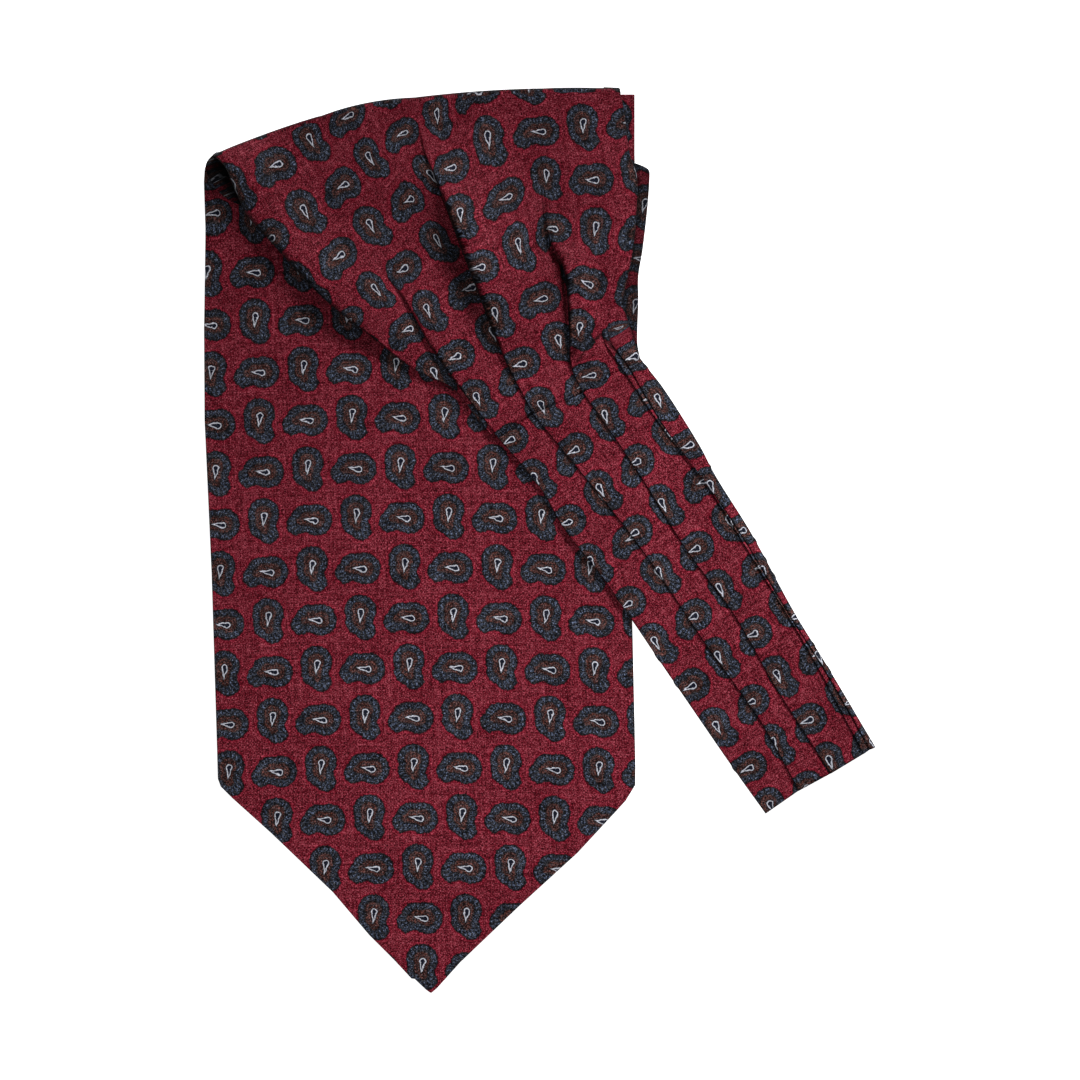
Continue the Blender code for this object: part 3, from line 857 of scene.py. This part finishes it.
class Finish:
    """One material's node tree."""

    def __init__(self, name):
        self.material = bpy.data.materials.new(name)
        self.material.use_nodes = True
        self.tree = self.material.node_tree
        self.shader = self.tree.nodes["Principled BSDF"]

    def node(self, kind, settings, sockets, output=0):
        """A node with its settings made first, then the values or links of its sockets."""
        node = self.tree.nodes.new(kind)
        for setting, value in settings.items():
            setattr(node, setting, value)
        for socket, value in sockets.items():
            if isinstance(value, Value):
                self.tree.links.new(value.socket, node.inputs[socket])
            else:
                node.inputs[socket].default_value = value
        return Value(self, node.outputs[output])

    def feed(self, socket, value):
        """Link a value to the shader."""
        self.tree.links.new(value.socket, self.shader.inputs[socket])

    def mix(self, share, first, second):
        """A colour between two colours."""
        return self.node("ShaderNodeMix", {"data_type": "RGBA"}, {0: share, 6: first, 7: second}, 2)

    def blend(self, share, first, second):
        """A number between two numbers."""
        return first + (second - first) * share

    def noise(self, place, scale, detail=2.0, roughness=0.5):
        return self.node("ShaderNodeTexNoise", {"noise_dimensions": "3D"},
                         {"Vector": place, "Scale": scale, "Detail": detail,
                          "Roughness": roughness})


def stretched(finish, place, across, down, turn=0.0):
    """The cloth's place, squeezed so that a pattern on it comes out as threads."""
    return finish.node("ShaderNodeMapping", {"vector_type": "POINT"},
                       {"Vector": place, "Scale": (across, down, 1.0), "Rotation": (0.0, 0.0, turn)})


def printed_silk(name, shade=1.0):
    """Heathered crimson silk with a printed lattice of small paisleys."""
    finish = Finish(name)
    uv = finish.node("ShaderNodeUVMap", {"uv_map": "cloth"}, {})
    u = finish.node("ShaderNodeSeparateXYZ", {}, {0: uv}, "X")
    v = finish.node("ShaderNodeSeparateXYZ", {}, {0: uv}, "Y")

    # the cloth's place in millimetres, and a slow wobble like a hand-cut printing block's
    x = u * COLUMN_PITCH
    y = v * ROW_PITCH
    place = finish.node("ShaderNodeCombineXYZ", {}, {"X": x, "Y": y})
    wobble_x = finish.noise(place, 0.55) - 0.5
    wobble_y = finish.noise(finish.node("ShaderNodeCombineXYZ", {}, {"X": y, "Y": x}), 0.55) - 0.5

    # which motif: upright where column and row add up to an even number, else turned clockwise
    row = v.rounded()
    down = (v - row) * ROW_PITCH
    count = u + row
    upright_x = (count - 2.0 * (count / 2.0).rounded()) * COLUMN_PITCH
    turned_x = (count - 1.0 - 2.0 * ((count - 1.0) / 2.0).rounded()) * COLUMN_PITCH
    is_upright = abs(upright_x).below(0.427 * COLUMN_PITCH)
    motif_x = finish.blend(is_upright, -down, upright_x) + wobble_x * 1.2
    motif_y = finish.blend(is_upright, turned_x, down) + wobble_y * 1.2

    def circle(centre_x, centre_y, radius):
        from_x = motif_x - centre_x
        from_y = motif_y - centre_y
        return (from_x * from_x + from_y * from_y).maths("SQRT") - radius

    # threads both ways, uneven in thickness and dye, with long slubs and slow drifts
    warp = finish.noise(stretched(finish, place, 4.2, 1.3), 1.0, 2.0, 0.6)
    weft = finish.noise(stretched(finish, place, 1.3, 4.2), 1.0, 2.0, 0.6)
    slubs = (finish.noise(stretched(finish, place, 1.9, 0.07), 1.0, 1.0)
             + finish.noise(stretched(finish, place, 0.07, 1.9), 1.0, 1.0))
    heather = finish.noise(place, 0.42, 2.0)
    drift = finish.noise(place, 0.05, 1.0)
    thread = (1.0 + (warp + weft - 1.0) * 7.6 + (slubs - 1.0) * 1.7 + (heather - 0.5) * 2.0
              + (drift - 0.5) * 0.6).higher(THREAD_DARK).lower(THREAD_BRIGHT)

    speck = finish.noise(place, 2.6, 1.0) - 0.5

    # the paisley: a round body, a waist and a hooked tail, with ragged edges
    body = circle(0.4, 2.8, 6.2)
    body = body.soft_lower(circle(-0.3, -1.5, 5.4), 1.2)
    body = body.soft_lower(circle(1.9, -4.9, 4.0), 1.0)
    body = body.soft_lower(circle(5.1, -5.5, 1.1), 0.6)
    body = body + (warp - weft) * 1.1
    heart = circle(0.3, 2.9, 3.4)
    heart = heart.soft_lower(circle(-0.3, -0.6, 2.9), 1.2)
    heart = heart.soft_lower(circle(0.5, -3.4, 1.7), 1.2)
    heart = heart + (warp - weft) * 0.6

    # dabs round the ring, uneven in size and shade, and strokes round the heart
    mottle = finish.noise(place, 1.1, 2.0)
    angle = motif_x.maths("ARCTAN2", motif_y + 0.5)
    dab_wave = (angle * 24.0 + (mottle - 0.5) * 11.0).sine() * 0.6
    dab_wave = dab_wave + (finish.noise(place, 1.9, 1.0) - 0.5) * 3.6
    dab = dab_wave.rise(-0.15, 0.95) * (1.0 - body.rise(-0.75, -0.35))
    blotch = finish.noise(place, 0.9, 1.0).rise(0.3, 0.62)
    stroke = (heart * 5.6 + (mottle - 0.5) * 16.0).sine().rise(-0.1, 0.9)

    # the eye: a drop with its point towards the tail
    tilt = math.radians(9.0)
    eye_x = (motif_x - 0.42) * math.cos(tilt) - (motif_y - 0.9) * math.sin(tilt)
    eye_y = (motif_x - 0.42) * math.sin(tilt) + (motif_y - 0.9) * math.cos(tilt)
    round_end, round_radius, point = 1.35, 1.25, -3.1
    slope = math.asin(round_radius / (round_end - point))
    from_round = (eye_x * eye_x + (eye_y - round_end) * (eye_y - round_end)).maths("SQRT")
    side = abs(eye_x) * math.cos(slope) - (eye_y - point) * math.sin(slope)
    cone = side.higher(eye_y - (round_end - round_radius * math.sin(slope)))
    eye = (from_round - round_radius).lower(cone)

    ring = finish.mix(dab * (0.15 + 0.85 * blotch), RING, PETAL)
    brown = finish.mix(stroke * (0.25 + 0.75 * blotch), BROWN, RUST)
    inside = finish.mix(heart.rise(-0.1, 0.1), brown, ring)
    lines = body.within(-0.55, 0.6, 0.2) + heart.within(-0.22, 0.3, 0.15) * 0.8
    inside = finish.mix(lines.lower(1.0), inside, OUTLINE)
    inside = finish.mix(eye.within(-5.0, 0.3, 0.2), inside, OUTLINE)
    inside = finish.mix(eye.within(-5.0, 0.0, 0.1), inside, EYE)
    inside = finish.mix(1.0 - (eye + (mottle - 0.5) * 0.35).rise(-0.46, -0.3), inside, PUPIL)
    printed = finish.mix(body.rise(-0.15, 0.15), inside, GROUND)
    # the print takes the threads' light and dark, less so where the eye is thick with colour
    thread = finish.blend((1.0 - eye.rise(0.0, 0.4)) * 0.7, thread, 1.0)
    dust = (thread + speck * 2.4 - THREAD_MIDDLE).higher(0.0) * THREAD_PALE
    dust = dust * (1.0 - 0.5 * body.within(-0.55, 0.5, 0.2))
    strength = thread * (1.0 + 0.2 * body.within(0.1, 1.3, 0.5))
    colour = finish.node("ShaderNodeVectorMath", {"operation": "SCALE"},
                         {"Vector": printed, "Scale": strength})
    dusting = finish.node("ShaderNodeCombineXYZ", {}, {"X": dust, "Y": dust, "Z": dust * 1.1})
    colour = finish.node("ShaderNodeVectorMath", {"operation": "ADD"}, {0: colour, 1: dusting})
    # painted shade: the colour darkens where the mesh's attribute says the cloth lies deep in a fold
    # or at an edge
    painted_shade = finish.node("ShaderNodeAttribute", {"attribute_name": "painted_shade"}, {}, "Fac")
    colour = finish.node("ShaderNodeVectorMath", {"operation": "SCALE"},
                         {"Vector": colour, "Scale": shade * (1.0 - (1.0 - PAINTED_SHADE_FLOOR) * painted_shade)})

    weave = finish.noise(stretched(finish, place, 5.0, 1.2, math.radians(38.0)), 1.0, 2.0)
    bump = finish.node("ShaderNodeBump", {}, {"Strength": 0.35, "Distance": 0.0002,
                                              "Height": weave + 0.7 * (warp + weft)})
    finish.feed("Base Color", colour)
    finish.feed("Normal", bump)
    finish.shader.inputs["Roughness"].default_value = 0.62
    finish.shader.inputs["Specular IOR Level"].default_value = 0.06
    finish.shader.inputs["Sheen Weight"].default_value = 0.02
    finish.shader.inputs["Sheen Roughness"].default_value = 0.45
    return finish.material


# ------------------------------------------------
# Table, light and camera
# ------------------------------------------------

# The width of the camera's frame on the table, and the place at its middle.
FRAME_WIDTH = 415.4
FRAME_CENTRE = (-0.38, 0.15)


def table_top():
    bm = bmesh.new()
    bmesh.ops.create_grid(bm, x_segments=1, y_segments=1, size=3.0)
    bmesh.ops.translate(bm, verts=bm.verts, vec=(0.0, 0.0, -0.0001))
    mesh = bpy.data.meshes.new("table_top")
    bm.to_mesh(mesh)
    bm.free()
    thing = bpy.data.objects.new("table_top", mesh)
    bpy.context.collection.objects.link(thing)
    finish = Finish("table_white")
    finish.shader.inputs["Base Color"].default_value = (0.9, 0.9, 0.9, 1.0)
    finish.shader.inputs["Roughness"].default_value = 0.9
    finish.shader.inputs["Emission Color"].default_value = (1.0, 1.0, 1.0, 1.0)
    finish.shader.inputs["Emission Strength"].default_value = 1.0
    mesh.materials.append(finish.material)


def lamp(name, kind, place, aim, energy):
    """A lamp at a place, turned towards another, both in metres."""
    light = bpy.data.lights.new(name, kind)
    light.energy = energy
    thing = bpy.data.objects.new(name, light)
    thing.location = place
    thing.rotation_euler = (Vector(place) - Vector(aim)).to_track_quat("Z", "Y").to_euler()
    bpy.context.collection.objects.link(thing)
    return light


def studio():
    # the key lamp, low at the upper right, whose soft cone lights the blade's middle the most
    key = lamp("key_lamp", "SPOT", (0.72, 1.16, 0.84), (-0.018, -0.105, 0.0), 151.0)
    key.shadow_soft_size = 0.24
    key.spot_size = math.radians(24.0)
    key.spot_blend = 1.0
    # a near soft lamp overhead fills the shadows
    near = lamp("near_lamp", "AREA", (-0.01, -0.06, 0.27), (-0.01, -0.06, 0.0), 0.17)
    near.size = 0.2
    world = bpy.data.worlds.new("studio")
    world.use_nodes = True
    world.node_tree.nodes["Background"].inputs["Color"].default_value = (1.0, 1.0, 1.0, 1.0)
    world.node_tree.nodes["Background"].inputs["Strength"].default_value = 0.15
    bpy.context.scene.world = world
    bpy.context.scene.view_settings.view_transform = "Standard"


def camera():
    """Straight down on the cravat."""
    lens = bpy.data.cameras.new("camera")
    lens.lens = 120.0
    lens.sensor_width = 36.0
    thing = bpy.data.objects.new("camera", lens)
    away = FRAME_WIDTH * MM * lens.lens / lens.sensor_width
    thing.location = (FRAME_CENTRE[0] * MM, FRAME_CENTRE[1] * MM, away)
    bpy.context.collection.objects.link(thing)
    bpy.context.scene.camera = thing


# ------------------------------------------------
# The cravat
# ------------------------------------------------

def dress(thing, node, material):
    thing.data.materials.append(material)
    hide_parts(node)
    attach(thing, "root")


camera()
table_top()
studio()

silk_blade = printed_silk("silk_blade")

front_blade = blade("blade_front_silk", BLADE_FRONT_LEFT, BLADE_FRONT_RIGHT, BLADE_FRONT_Z,
                    BLADE_CREASES)
dress(front_blade, "blade_front", silk_blade)
back_blade = blade("blade_back_silk", BLADE_BACK_LEFT, BLADE_BACK_RIGHT, BLADE_BACK_Z)
dress(back_blade, "blade_back", silk_blade)

front_fan = fan_front()
thicken(front_fan, PLY)
dress(front_fan, "fan_front", silk_blade)
back_fan = fan_back()
thicken(back_fan, PLY)
dress(back_fan, "fan_back", silk_blade)

gather = turn_gather()
thicken(gather, PLY)
# a copy of the silk at half brightness, as painted shade in the gathered hollow
dress(gather, "fan_front", printed_silk("silk_inside_painted_shade", 0.5))

front_neckband = neckband_front()
thicken(front_neckband, PLY)
dress(front_neckband, "neckband_front", silk_blade)
back_neckband = neckband_back()
thicken(back_neckband, PLY)
dress(back_neckband, "neckband_back", silk_blade)
